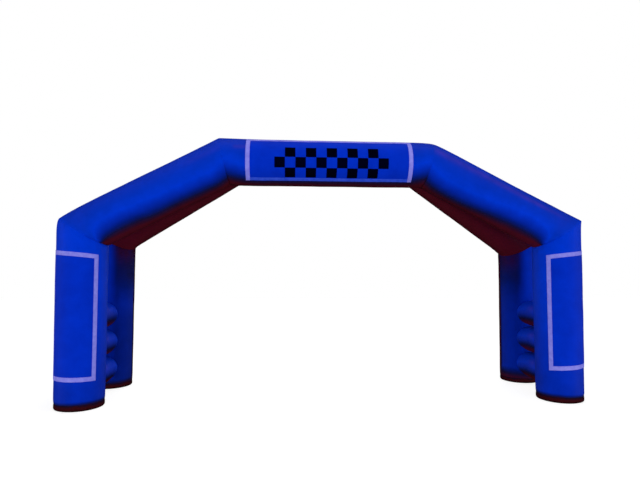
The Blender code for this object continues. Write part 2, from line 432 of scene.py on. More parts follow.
def tube_cloth_mesh(tube, panel, streak=None):
    """A closed skin round a tube, with its rings closer together towards the seams."""
    shares = ring_shares(round(tube.length / RING_SPACING))

    def place_of(ring, angle):
        first, last = tube.run(angle)
        distance = first + (last - first) * shares[ring]
        return distance, angle, tube.surface(distance, angle, tube.relief(distance, angle))

    return place_cloth(stacked_rings(len(shares)), place_of, panel, streak)


# Coated nylon, woven and then coated on its inner face: deep colour, a broad satin gloss of its
# own blue, faint creases from being packed, and a slightly uneven dye. Painted shade dulls the blue
# towards the top and deepens it to navy on its way down to the sewn and puckered seam of the maroon
# panel, whose maroon is painted shade too.

SEAM_RANGE = (-90, 60)  # degrees past the seam, less than 0 on the blue side
BRIGHTEST = -42  # the place on that range where the blue is brightest
# Painted shade: dull blue towards the top, the brightest blue, then navy and maroon underneath.
PAINTED_SHADE_COLOURS = (
    (-90, "#0A2EB2"),
    (-62, "#0230BA"),
    (BRIGHTEST, "#0034CC"),
    (-31, "#022CB8"),
    (-20, "#03249E"),
    (-10, "#041A72"),
    (0, "#141340"),
    (10, "#330E27"),
    (20, "#4C0C1A"),
    (45, "#520D19"),
)
VIOLET = "#48309C"
# The rear legs' streak colour: painted shade under the struts.
DARK_MAROON = "#34081C"
SATIN = (0.004, 0.04, 1.0, 1.0)
THREAD_MM = 6  # real threads are 0.5 mm apart, too fine to show
WAVE_PERIOD = 0.314  # the length of one band of a wave texture at scale 1
PUCKER_MM = 38  # between the tucks that a machine-sewn seam draws along both its edges
PUCKER_REACH = 11  # degrees round the tube, about 50 mm
GROOVE_REACH = 1.0  # degrees, about 5 mm; stitches of 4 mm are too fine to show


def crossed_threads(tree):
    """The height of a plain weave, which lies square on the cut cloth."""
    look = {
        "Vector": add_node(tree, "ShaderNodeUVMap", uv_map="cloth").outputs["UV"],
        "Scale": WAVE_PERIOD * 1000 / THREAD_MM,
    }
    weft, warp = (add_node(tree, "ShaderNodeTexWave", look, bands_direction=way) for way in "XY")
    both = {0: weft.outputs["Fac"], 1: warp.outputs["Fac"]}
    return add_node(tree, "ShaderNodeMath", both, operation="MULTIPLY")


def coated_nylon(name, streak):
    material = blank_material(name)
    tree = material.node_tree
    cloth = add_node(tree, "ShaderNodeUVMap", uv_map="cloth").outputs["UV"]
    past = add_node(tree, "ShaderNodeAttribute", attribute_name="past_seam").outputs["Fac"]
    streak_and_painted_light = add_node(tree, "ShaderNodeAttribute", attribute_name="streak_and_painted_light").outputs["Fac"]
    solid = add_node(tree, "ShaderNodeTexCoord").outputs["Object"]
    drift = add_node(tree, "ShaderNodeTexNoise", {"Vector": solid, "Scale": 2.6, "Detail": 3})
    wander = add_node(
        tree,
        "ShaderNodeMapRange",
        {"Value": drift.outputs["Fac"], "From Min": 0.3, "From Max": 0.7, "To Min": -3, "To Max": 3},
    )
    place = add_node(tree, "ShaderNodeMath", {0: past, 1: wander}, operation="ADD")
    first, last = SEAM_RANGE
    ends = {"From Min": first, "From Max": last}
    along = add_node(tree, "ShaderNodeMapRange", {"Value": place, **ends})
    stops = [((degrees - first) / (last - first), linear(colour)) for degrees, colour in PAINTED_SHADE_COLOURS]
    ramp = add_node(tree, "ShaderNodeValToRGB", {"Fac": along}, stops)
    blotches = {"Vector": solid, "Scale": 7, "Detail": 4, "Roughness": 0.6}
    patches = add_node(tree, "ShaderNodeTexNoise", blotches).outputs["Fac"]
    # Mixes in the streak colour: violet streaks, the rungs' painted highlight, and painted shade under the
    # struts.
    streak_share = add_node(tree, "ShaderNodeMath", {0: streak_and_painted_light, 1: patches}, operation="MULTIPLY")
    streaked = add_node(
        tree,
        "ShaderNodeMix",
        {"Factor": streak_share, "A": ramp.outputs["Color"], "B": linear(streak)},
        data_type="RGBA",
    )
    dye = add_node(
        tree,
        "ShaderNodeMapRange",
        {"Value": patches, "From Min": 0.25, "From Max": 0.75, "To Min": 0.88, "To Max": 1.08},
    )
    dyed = {0: streaked.outputs["Result"], "Scale": dye}
    colour = add_node(tree, "ShaderNodeVectorMath", dyed, operation="SCALE")

    folds = {"Vector": solid, "Scale": 9, "Detail": 5, "Roughness": 0.55, "Distortion": 0.6}
    crumple = add_node(tree, "ShaderNodeTexNoise", folds).outputs["Fac"]
    from_seam = add_node(tree, "ShaderNodeMath", {0: past}, operation="ABSOLUTE")
    near_seam = add_node(
        tree,
        "ShaderNodeMapRange",
        {"Value": from_seam, "From Max": PUCKER_REACH, "To Min": 1, "To Max": 0},
        interpolation_type="SMOOTHSTEP",
    )
    drawn = {"Scale": WAVE_PERIOD * 1000 / PUCKER_MM, "Distortion": 3.5, "Detail": 2, "Detail Scale": 1.5}
    tucks = add_node(tree, "ShaderNodeTexWave", {"Vector": cloth, **drawn}, bands_direction="Y")
    gathered = {0: tucks.outputs["Fac"], 1: near_seam}
    puckers = add_node(tree, "ShaderNodeMath", gathered, operation="MULTIPLY")
    groove = add_node(
        tree,
        "ShaderNodeMapRange",
        {"Value": from_seam, "From Max": GROOVE_REACH},
        interpolation_type="SMOOTHSTEP",
    )
    layers = (
        (crossed_threads(tree), 0.25, 0.0006),
        (crumple, 0.5, 0.008),
        (puckers, 0.5, 0.008),
        (groove, 0.8, 0.004),
    )
    surface = {}
    for height, strength, depth in layers:
        bump = {"Height": height, "Strength": strength, "Distance": depth, **surface}
        surface = {"Normal": add_node(tree, "ShaderNodeBump", bump)}
    gloss = add_node(tree, "ShaderNodeMapRange", {"Value": crumple, "To Min": 0.42, "To Max": 0.58})
    shader = add_node(
        tree,
        "ShaderNodeBsdfPrincipled",
        {
            "Base Color": colour,
            "Roughness": gloss,
            "IOR": 1.45,
            "Specular IOR Level": 0.15,
            "Specular Tint": SATIN,
            **surface,
        },
    )
    add_node(tree, "ShaderNodeOutputMaterial", {"Surface": shader})
    return material


blue_nylon = coated_nylon("coated_nylon_woven_blue", VIOLET)

# Painted shade: how much the blue of a leg deepens towards the ground.
FOOT_SHADE = 17  # how much deeper the blue is at the foot, on the range of the seam
FOOT_SHADE_REACH = 1.2


def above_band(distance, angle, reach=0.06, lowest=2):
    """A leg has no panel, but painted shade deepens its blue towards the ground, most just above its band.
    """
    low = BRIGHTEST + FOOT_SHADE * max(0, 1 - distance / FOOT_SHADE_REACH)
    return max(lowest + BRIGHTEST * distance / reach, low)


def dress(name, shape, material, nodes):
    """Cloth in place of its CAD solids, kept tight by what is inside."""
    piece = add_piece(name, shape, material)
    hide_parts(*nodes)
    return piece


def streak_along(middle, half_width, first, last, strength, widening=0):
    """A streak that runs along a tube between two distances, strongest in its middle."""

    def streak(distance, angle):
        across = max(0, 1 - abs(angle - middle) / (half_width + widening * distance))
        along = max(0, 1 - abs(2 * distance - first - last) / (last - first))
        return strength * across * min(1, 2.5 * along)

    return streak


SHOULDER_BEND = {"left": 0.03, "right": -0.014}
SHOULDER_REACH = {"left": 0.2, "right": 0.3}
CORNER_BEND = {"left": (-0.013, 0, 0.35), "right": (0.015, 0, 0.09)}
front_legs, diagonals, corner_cuts = {}, {}, {}


def leg_tube(foot, shoulder, cut, aside, seed, bend):
    """A leg from the top of its base band to its mitre, a little narrower at the foot."""
    return Tube(
        foot.lerp(shoulder, BAND_HEIGHT / shoulder.z),
        shoulder,
        UP,
        cut,
        aside,
        seed,
        FOOT_RADIUS,
        start_pleats=0.6,
        start_draw=0.004,
        end_bend=bend,
    )


for side, sign in SIDE_SIGNS.items():
    foot, shoulder = on_side(FOOT, sign), on_side(SHOULDER, sign)
    corner, far_corner = on_side(CORNER, sign), on_side(CORNER, -sign)
    shoulder_cut = mitre(foot, shoulder, corner)
    corner_cuts[side] = mitre(shoulder, corner, far_corner)
    bend = (SHOULDER_BEND[side], 0, 0.05)
    front_legs[side] = leg_tube(foot, shoulder, shoulder_cut, RIGHT * sign, 3.1 + sign, bend)
    diagonals[side] = Tube(
        shoulder,
        corner,
        shoulder_cut,
        corner_cuts[side],
        DOWN,
        seed=11.7 + sign,
        start_bend=(SHOULDER_BEND[side], 0, SHOULDER_REACH[side]),
        end_bend=CORNER_BEND[side],
    )
crossbeam = Tube(
    on_side(CORNER, -1),
    CORNER,
    corner_cuts["left"],
    -corner_cuts["right"],
    DOWN,
    seed=23.5,
    start_bend=CORNER_BEND["left"],
    end_bend=CORNER_BEND["right"],
)


# The crossbeam's maroon panel is painted shade on its underside.
BEAM_SHADE_PANEL = 27  # half a panel's width, in degrees
BEAM_WIDENING = 16
WIDENING_REACH = 0.2


def beam_panel(distance, angle):
    """The maroon panel of painted shade under the crossbeam widens at both ends, beside the banner."""
    from_end = min(distance, crossbeam.length - distance)
    widening = BEAM_WIDENING * math.exp(-((from_end / WIDENING_REACH) ** 2))
    return past_panel(angle, 90, BEAM_SHADE_PANEL + widening)


def eased(value, low, high):
    """0 below the low value, 1 above the high one, and a smooth rise between them."""
    share = min(1, max(0, (value - low) / (high - low)))
    return share * share * (3 - 2 * share)


DIAGONAL_SHADE_PANEL = 40
NARROWED, WIDENED = (0.4, 1.3), (1.5, 1.85)  # the stretches over which its width changes
BRIGHT_REACH = 0.09
BRIGHT_RISE = 45
BRIGHT_SHARPENING = 1.6
TURNED_DOWN = 60
TURNED_REACH = 0.045
TURNED_EDGE = (52, 80)


def diagonal_panel(tube, narrowing):
    """The maroon panel of painted shade narrows from the shoulder towards the crossbeam, and widens again
    there.

    Beside the shoulder its front edge turns down, and the painted shade leaves the blue bright until close
    to it.
    """

    def panel(distance, angle):
        narrowed = eased(distance, *NARROWED) * (1 - eased(distance, *WIDENED))
        past = past_panel(angle, 90, DIAGONAL_SHADE_PANEL - narrowing * narrowed)
        from_mitre = max(0, distance - tube.run(math.radians(angle))[0])
        beside = math.exp(-from_mitre / BRIGHT_REACH)
        turned_down = TURNED_DOWN * math.exp(-from_mitre / TURNED_REACH) * (1 - eased(angle, *TURNED_EDGE))
        sharpened = past * (1 + BRIGHT_SHARPENING * beside)
        return max(sharpened - turned_down, SEAM_RANGE[0] + BRIGHT_RISE * beside)

    return panel


beam_spot = streak_along(-28, 9, 0.1, 0.3, 0.5)
dress("crossbeam_cloth", tube_cloth_mesh(crossbeam, beam_panel, beam_spot), blue_nylon, ["crossbeam"])
narrowings = {"left": 10, "right": 16}
streaks = {"left": streak_along(-25, 10, 1.3, 2.0, 0.15), "right": streak_along(-31, 9, 0, 2.1, 0.65, 5)}
for side, sign in SIDE_SIGNS.items():
    panel = diagonal_panel(diagonals[side], narrowings[side])
    shape = tube_cloth_mesh(diagonals[side], panel, streaks[side])
    dress(f"front_diagonal_cloth_{side}", shape, blue_nylon, [f"front_diagonal_{side}"])
    shape = tube_cloth_mesh(front_legs[side], above_band)
    dress(f"front_leg_cloth_{side}", shape, blue_nylon, [f"front_leg_{side}"])

# The rear frame: two legs, each with a strut that leans against the back of the front frame.
# The same cloth. A strut's blind end is rounded, and where it lies along the diagonal it is
# flattened, and sewn down along both edges. Maroon strips run down the inner sides of the legs,
# where painted shade deepens the blue, and painted shade in maroon runs down from under each strut.
# The left one stands a little tauter than the right one, which sags at the shoulder.

REAR_SHOULDER = Vector((SHOULDER.x, FRONT_Y + 0.92, SHOULDER.z))
SHOULDER_RISES = {"left": 0.03, "right": -0.042}
REAR_FOOT = Vector((2.744, FRONT_Y + 1.05, 0))
STRUT_END = Vector((CORNER.x, FRONT_Y + 0.19, CORNER.z))
STRUT_DOME = 0.22
DOME_RINGS = 12
TURNED_IN = 0.006
EDGE_FADES = (0.03, 0.012)  # of the relief, and of the turned-in edge, beside a crease
CREASE_STEP = 4
CREASE_LIMIT = 165
PROBE_STEP = 0.02
FREE_POINTS = 112
BACKWARD = Vector((0, 1, 0))


def dome_step(ring, count):
    """A ring's share of the quarter turn that closes a strut's end, 0 on the straight part."""
    return max(0, ring - (count - 1 - DOME_RINGS)) / DOME_RINGS * math.pi / 2


def bisected(low, high, test):
    """The place between low, where the test fails, and high, where it holds."""
    for _ in range(9):
        middle = (low + high) / 2
        low, high = (low, middle) if test(middle) else (middle, high)
    return low


def strut_cloth_mesh(strut, hosts, panel):
    """A skin that is round at the back, and lies on the front frame where it meets it."""
    shares = ring_shares(round(strut.length / RING_SPACING))
    shoulder_end = strut.length - STRUT_DOME
    count = len(shares) + DOME_RINGS
    known_creases = {}

    def met(point):
        return any(host.holds(point, SEAM_GAP) for host in hosts)

    def on_ring(ring, angle, lift):
        step = last_step * dome_step(ring, count) / (math.pi / 2)
        lift -= strut.end_radius * (1 - math.cos(step))
        first, _ = strut.run(angle)
        distance = first + (shoulder_end - first) * shares[min(ring, len(shares) - 1)]
        distance += STRUT_DOME * math.sin(step)
        return distance, strut.surface(distance, angle, lift)

    def dome_top(step):
        lift = -TURNED_IN - strut.end_radius * (1 - math.cos(step))
        return strut.surface(shoulder_end + STRUT_DOME * math.sin(step), 0, lift)

    last_step = bisected(0, math.pi / 2, lambda step: met(dome_top(step)))

    def creases(ring):
        """The angles, to either side of the back, at which this ring meets the front frame."""
        if ring not in known_creases:
            pair = []
            for way in (-1, 1):

                def meets(angle, way=way):
                    return met(on_ring(ring, way * angle, -TURNED_IN)[1])

                steps = [math.radians(step) for step in range(0, CREASE_LIMIT, CREASE_STEP)]
                free = [step for step in steps if not meets(step)]
                inside = [step for step in steps if meets(step)]
                found = steps[-1]
                if inside:
                    found = bisected(inside[0] - math.radians(CREASE_STEP), inside[0], meets)
                pair.append(way * max(0, found) if free else 0)
            known_creases[ring] = pair
        return known_creases[ring]

    def place_of(ring, turn):
        low, high = creases(ring)
        number = round((turn / (2 * math.pi) % 1) * SIDES) % SIDES
        if number <= FREE_POINTS:
            angle = low + (high - low) * number / FREE_POINTS
            edge = min(angle - low, high - angle) * strut.end_radius
            relief = strut.relief(on_ring(ring, angle, 0)[0], angle)
            fade, tuck = (math.exp(-edge / reach) for reach in EDGE_FADES)
            lift = relief * (1 - fade) - TURNED_IN * tuck
            distance, point = on_ring(ring, angle, lift if ring else relief)
            return distance, angle, point
        share = (number - FREE_POINTS) / (SIDES - FREE_POINTS)
        angle = high + (low + 2 * math.pi - high) * share
        relief = strut.relief(strut.run(angle)[0], angle)
        distance, point = on_ring(ring, angle, -TURNED_IN if ring else relief)
        if met(point):
            reach = PROBE_STEP
            while met(point + strut.front * reach):
                reach += PROBE_STEP
            reach = bisected(reach, reach - PROBE_STEP, lambda out: met(point + strut.front * out))
            point = point + strut.front * reach
        return distance, math.remainder(angle, 2 * math.pi), point

    shape = place_cloth(stacked_rings(count), place_of, panel)
    bmesh.ops.remove_doubles(shape, verts=shape.verts, dist=0.0004)
    return shape


STRUT_SHADE_PANEL = (118, 74)  # the middle and half the width, in degrees
LEG_STRIP = (-103, 12)
STRIP_SHARPNESS = 3
SHADE_HEIGHTS = (0.6, 0.95, 1.4)
SHADE_EDGES = ((-2, 34), (-150, -112))


def strut_panel(distance, angle):
    """The maroon panel of painted shade covers the front and the underside. The angle is from the back,
    downwards.
    """
    return past_panel(angle, *STRUT_SHADE_PANEL)


def rear_leg_panel(depths, band_reach):
    """A thin strip on the inner side, and painted shade that deepens the blue there, most near its two
    ends.

    The depths are how far the painted shade deepens it near the foot, half-way up and near the strut's
    panel.
    """
    low, middle, high = depths
    first, second, last = SHADE_HEIGHTS
    front_edge, back_edge = SHADE_EDGES

    def panel(distance, angle):
        strip = STRIP_SHARPNESS * past_panel(angle, *LEG_STRIP)
        depth = low + (middle - low) * eased(distance, first, second)
        depth += (high - middle) * eased(distance, second, last)
        shaded = BRIGHTEST + depth * eased(-angle, *front_edge) * eased(angle, *back_edge)
        return max(strip, shaded, above_band(distance, angle, *band_reach))

    return panel


STRUT_SHADE_MIDDLE = -74
STRUT_SHADE_EDGE = (64, 34)
STRUT_SHADE_RUN = (-0.02, 0.3)


def stained_top(leg, strength):
    """Painted shade in maroon that runs down the inner side of a leg from the strut's panel, and fades out.
    """

    def stain(distance, angle):
        below = leg.run(math.radians(angle))[1] - distance
        across = eased(abs(angle - STRUT_SHADE_MIDDLE), *STRUT_SHADE_EDGE)
        return strength * across * (1 - eased(below, *STRUT_SHADE_RUN))

    return stain


# The rear legs' nylon, whose streak colour paints the shade under the struts in maroon.
strut_shade_nylon = coated_nylon("coated_nylon_woven_blue_strut_shade", DARK_MAROON)
REAR_BEND = (0, -0.022, 0.04)
SHADE_DEPTHS = {"left": (30, 24, 37), "right": (21, 21, 35)}
BAND_REACHES = {"left": (0.12, 9), "right": (0.17, 17)}
STRUT_SHADES = {"left": 1.7, "right": 1.2}
rear_legs = {}
for side, sign in SIDE_SIGNS.items():
    foot, shoulder, end = (on_side(point, sign) for point in (REAR_FOOT, REAR_SHOULDER, STRUT_END))
    shoulder += UP * SHOULDER_RISES[side]
    tip = end + (end - shoulder).normalized() * STRUT_DOME
    rear_cut = mitre(foot, shoulder, end)
    rear_legs[side] = leg_tube(foot, shoulder, rear_cut, RIGHT * sign, 31.3 + sign, REAR_BEND)
    strut = Tube(
        shoulder,
        tip,
        rear_cut,
        (tip - shoulder).normalized(),
        DOWN,
        seed=43.9 + sign,
        facing=BACKWARD,
        end_pleats=0.5,
        end_draw=0,
        start_bend=REAR_BEND,
    )
    panel = rear_leg_panel(SHADE_DEPTHS[side], BAND_REACHES[side])
    stain = stained_top(rear_legs[side], STRUT_SHADES[side])
    shape = tube_cloth_mesh(rear_legs[side], panel, stain)
    dress(f"rear_leg_cloth_{side}", shape, strut_shade_nylon, [f"rear_leg_{side}"])
    shape = strut_cloth_mesh(strut, (diagonals[side], crossbeam), strut_panel)
    dress(f"rear_strut_cloth_{side}", shape, blue_nylon, [f"rear_strut_{side}"])

# The rungs: three short fat tubes on each side that hold the legs apart.
# The same cloth, gathered at both ends, where it is sewn to the round sides of the two legs.

RUNG_RADIUS = 0.162
RUNG_HEIGHTS = (0.272, 0.606, 0.94)
RUNG_SWELL = 0.022
RUNG_SIDES = 96
RUNG_RINGS = 61
CAP_SHARES = (0.25, 0.6, 0.88)
NEAREST_LEG = 0.14
LEG_STEP = 0.01


@dataclass
class Rung(Tube):
    """A short tube, whose ends are cut to the round sides of the two legs that hold it."""

    hosts: tuple = ()

    def __post_init__(self):
        super().__post_init__()
        self.known = {}

    def meeting(self, angle, host, way, lift):
        """How far along the axis the line at this angle and lift enters a leg."""
        middle = self.length / 2

        def met(reach):
            return host.holds(self.surface(middle + way * reach, angle, lift), SEAM_GAP)

        reach = NEAREST_LEG
        while not met(reach):
            reach += LEG_STEP
        return middle + way * bisected(reach - LEG_STEP, reach, met)

    def run(self, angle):
        key = round(math.degrees(angle) * 100)
        if key not in self.known:
            lift = -RUNG_SWELL - SEAM_DRAW
            self.known[key] = tuple(
                self.meeting(angle, host, way, lift) for host, way in zip(self.hosts, (-1, 1))
            )
        return self.known[key]

    def relief(self, distance, angle):
        """A barrel's swell, and pleats that run out from both gathered ends."""
        first, last = self.run(angle)
        share = (distance - first) / (last - first)
        relief = super().relief(distance, angle)
        return relief - RUNG_SWELL * min(1, abs(2 * share - 1) ** 2.2)


def rung_cloth_mesh(rung, panel, streak):
    """A barrel between two legs, with ends that follow their round sides."""
    shares = ring_shares(RUNG_RINGS)
    caps = len(CAP_SHARES)

    def place_of(ring, angle):
        number = ring - caps
        if 0 <= number < RUNG_RINGS:
            first, last = rung.run(angle)
            distance = first + (last - first) * shares[number]
            return distance, angle, rung.surface(distance, angle, rung.relief(distance, angle))
        at_start = number < 0
        share = CAP_SHARES[ring] if at_start else CAP_SHARES[-1 - (number - RUNG_RINGS)]
        lift = share * (RUNG_RADIUS - RUNG_SWELL - SEAM_DRAW) - RUNG_RADIUS
        host, way = (rung.hosts[0], -1) if at_start else (rung.hosts[1], 1)
        distance = rung.meeting(angle, host, way, lift)
        return distance, angle, rung.surface(distance, angle, lift)

    return place_cloth(stacked_rings(RUNG_RINGS + 2 * caps, RUNG_SIDES), place_of, panel, streak)


RUNG_SHADE_PANEL_MIDDLE = (0.48, 172)
RUNG_SHADE_PANEL_HALF = (0.34, 62)
RUNG_SHADE_PANEL_ROUNDING = 24
SHEEN = 0.65
SHEEN_MIDDLE = (0.36, 62)
SHEEN_HALF = (0.12, 24)


def rung_panel(distance, angle):
    """A rounded maroon panel of painted shade underneath. The angle is from the top."""
    along = (distance - RUNG_SHADE_PANEL_MIDDLE[0]) / RUNG_SHADE_PANEL_HALF[0]
    half_width = RUNG_SHADE_PANEL_HALF[1] - RUNG_SHADE_PANEL_ROUNDING * along**2
    return max(BRIGHTEST, past_panel(angle, RUNG_SHADE_PANEL_MIDDLE[1], half_width))


def rung_sheen(distance, angle):
    """A painted highlight, a paler patch where the side bulges most."""
    along, across = (
        max(0, 1 - abs(value - middle) / half)
        for value, middle, half in zip((distance, angle), SHEEN_MIDDLE, SHEEN_HALF)
    )
    return SHEEN * across * along


for side, sign in SIDE_SIGNS.items():
    for number, height in enumerate(RUNG_HEIGHTS, start=1):
        ends = [
            on_side(foot.lerp(shoulder, height / shoulder.z), sign)
            for foot, shoulder in ((FOOT, SHOULDER), (REAR_FOOT, REAR_SHOULDER))
        ]
        line = (ends[1] - ends[0]).normalized()
        rung = Rung(
            *ends,
            line,
            line,
            RIGHT * -sign,
            seed=53.0 + number + sign,
            start_radius=RUNG_RADIUS,
            end_radius=RUNG_RADIUS,
            facing=UP,
            start_pleats=0.9,
            end_pleats=0.9,
            hosts=(front_legs[side], rear_legs[side]),
        )
        shape = rung_cloth_mesh(rung, rung_panel, rung_sheen)
        dress(f"rung_cloth_{number}_{side}", shape, blue_nylon, [f"rung_{number}_{side}"])

# The base bands, one round the foot of each leg, that stand on the ground.
# Thick cloth whose maroon is painted shade: matt and scuffed, turned in underneath and gathered where the
# leg is sewn on.

BAND_EDGE = 0.022
BAND_RINGS = 14
BAND_TUCK = 0.004
BAND_PLEATS = (0.0016, 24)
BAND_SHADE_COLOURS = ((0.0, "#060002"), (0.25, "#240408"), (0.6, "#34070E"), (1.0, "#140822"))


# Canvas, thickly woven and unglazed: matt, and scuffed in uneven patches. Painted shade makes it
# nearly black where it meets the ground and dark navy at its top.


def woven_band_cloth():
    material = blank_material("canvas_woven_maroon")
    tree = material.node_tree
    solid = add_node(tree, "ShaderNodeTexCoord").outputs["Object"]
    blotches = {"Vector": solid, "Scale": 14, "Detail": 5, "Roughness": 0.65}
    patches = add_node(tree, "ShaderNodeTexNoise", blotches).outputs["Fac"]
    height = add_node(tree, "ShaderNodeSeparateXYZ", {0: solid})
    share = add_node(tree, "ShaderNodeMapRange", {"Value": height.outputs["Z"], "From Max": BAND_HEIGHT})
    scuffs = add_node(
        tree,
        "ShaderNodeMapRange",
        {"Value": patches, "From Min": 0.3, "From Max": 0.7, "To Min": -0.2, "To Max": 0.2},
    )
    shade_and_scuffs = add_node(tree, "ShaderNodeMath", {0: share, 1: scuffs}, operation="ADD")
    stops = [(position, linear(colour)) for position, colour in BAND_SHADE_COLOURS]
    ramp = add_node(tree, "ShaderNodeValToRGB", {"Fac": shade_and_scuffs}, stops)
    creases = add_node(tree, "ShaderNodeBump", {"Height": patches, "Strength": 0.5, "Distance": 0.006})
    shader = add_node(
        tree,
        "ShaderNodeBsdfPrincipled",
        {
            "Base Color": ramp.outputs["Color"],
            "Roughness": 0.85,
            "IOR": 1.45,
            "Specular IOR Level": 0.05,
            "Normal": creases,
        },
    )
    add_node(tree, "ShaderNodeOutputMaterial", {"Surface": shader})
    return material


band_canvas = woven_band_cloth()


def band_mesh(foot, leg):
    """A low ring of cloth, flat underneath and with a rounded bottom edge."""
    band = Tube(foot, leg.start, UP, UP, leg.aside, leg.seed, FOOT_RADIUS, leg.radius(0))

    def place_of(ring, angle):
        share = ring / (BAND_RINGS - 1)
        bottom = max(0, 1 - share * BAND_HEIGHT / BAND_EDGE)
        lift = -BAND_EDGE * (1 - math.sqrt(1 - bottom**2)) - BAND_TUCK * share**6
        height, number = BAND_PLEATS
        lift += height * puff(number * angle + leg.seed) * share**2 * (1 - share**6)
        first, last = band.run(angle)
        distance = first - SEAM_GAP / 2 + (last - first) * share
        point = band.surface(distance, angle, lift)
        if ring == 0:
            point.z = 0
        return distance, angle, point

    return place_cloth(stacked_rings(BAND_RINGS), place_of, above_band)


for side, sign in SIDE_SIGNS.items():
    for row, legs, foot in (("front", front_legs, FOOT), ("rear", rear_legs, REAR_FOOT)):
        shape = band_mesh(on_side(foot, sign), legs[side])
        dress(f"{row}_foot_band_{side}", shape, band_canvas, [f"{row}_foot_{side}"])

# The banners: one on the crossbeam and one on each front leg, laid on the tube under light tension.
# Woven polyester with a printed face, smoother than the nylon. The crossbeam's has a black check
# printed across its middle, as for the start of a race.

BANNER_THICKNESS = 0.002
TAPE_THICKNESS = 0.0015
TAPE_WIDTH = 0.046
CHECK_SQUARE = 0.1165
CHECK_COUNT = (11, 3)
CHECK_MIDDLE = (0.051, 1.217)
CHECK_INK = "#01010A"
PRINTED_BLUES = ("#0228B2", "#022EC2")
SLACK = 0.003
STAND_OFF = 0.004
RIB_MM = 5  # real ribs are 1 mm apart, too fine to show
STITCH_MM = 9  # real stitches are 4 mm long, too fine to show
STITCH_ROW = 0.018
STITCH_HALF_WIDTH = 0.0022
SHEET_STEP = 0.0115
FEWEST_STEPS = 4


@dataclass
class Banner:
    """A banner on a tube: its ends along the tube, their rise per degree, and its two angles."""

    tube: Tube
    ends: tuple
    rises: tuple
    angles: tuple

    def distance(self, end, angle):
        """Where one end of the banner lies, at an angle in degrees."""
        return self.ends[end] + self.rises[end] * angle

    def lift(self, distance, angle):
        """How far the underside stands off the nominal tube, more in the slack middle."""
        low, high = self.angles
        across = (angle - low) / (high - low)
        along = (distance - self.distance(0, angle)) / (self.distance(1, angle) - self.distance(0, angle))
        across, along = (min(1, max(0, share)) for share in (across, along))
        middle = (1 - (2 * across - 1) ** 8) * (1 - (2 * along - 1) ** 8)
        turn = math.radians(angle)
        place = self.tube.surface(distance, turn, 0)
        waves = 0.5 + noise.noise(place * 3.1 + Vector((self.tube.seed, 0, 0)))
        waves += 0.35 * noise.noise(place * 9 + Vector((0, self.tube.seed, 0)))
        return self.tube.relief(distance, turn) + SEAM_GAP + SLACK * middle * max(0, waves)


def sheet_mesh(banner, run, turn, above, thickness):
    """A sheet of one thickness that lies a little above the tube, or above the banner.

    The run gives the shares of the banner's length, and what to add in metres, for both ends.
    A strip of tape has its places on the cut cloth counted across it and along it.
    """
    is_strip = thickness == TAPE_THICKNESS
    angles_wide = math.radians(turn[1] - turn[0]) * TUBE_RADIUS
    foot, head = (banner.distance(end, 0) + added for end, added in run)
    across = max(FEWEST_STEPS, round(angles_wide / SHEET_STEP))
    along = max(FEWEST_STEPS, round((head - foot) / RING_SPACING))
    shape = bmesh.new()
    bmesh.ops.create_grid(shape, x_segments=across, y_segments=along, size=1)
    bmesh.ops.extrude_face_region(shape, geom=shape.faces[:])
    shape.verts.index_update()
    upper = len(shape.verts) // 2
    places = []
    for vert in shape.verts:
        angle = turn[0] + (turn[1] - turn[0]) * (vert.co.x + 1) / 2
        first, last = (banner.distance(end, angle) + added for end, added in run)
        distance = first + (last - first) * (vert.co.y + 1) / 2
        lift = banner.lift(distance, angle) + above + (thickness if vert.index >= upper else 0)
        round_tube, along_tube = math.radians(angle), distance
        vert_across, vert_along = vert.co.x, vert.co.y
        vert.co = banner.tube.surface(distance, round_tube, lift)
        if is_strip and angles_wide > TAPE_WIDTH * 1.5:
            places.append((vert_along * TAPE_WIDTH / 2 / TUBE_RADIUS, round_tube * TUBE_RADIUS))
        elif is_strip:
            places.append((vert_across * TAPE_WIDTH / 2 / TUBE_RADIUS, along_tube))
        else:
            places.append((round_tube, along_tube))
    name_places(shape, places)
    face_outwards(shape)
    return shape


# Polyester, woven and printed: an even flat blue with a low satin gloss and a fine thread, and ink
# that lies in the cloth with no edge of its own.


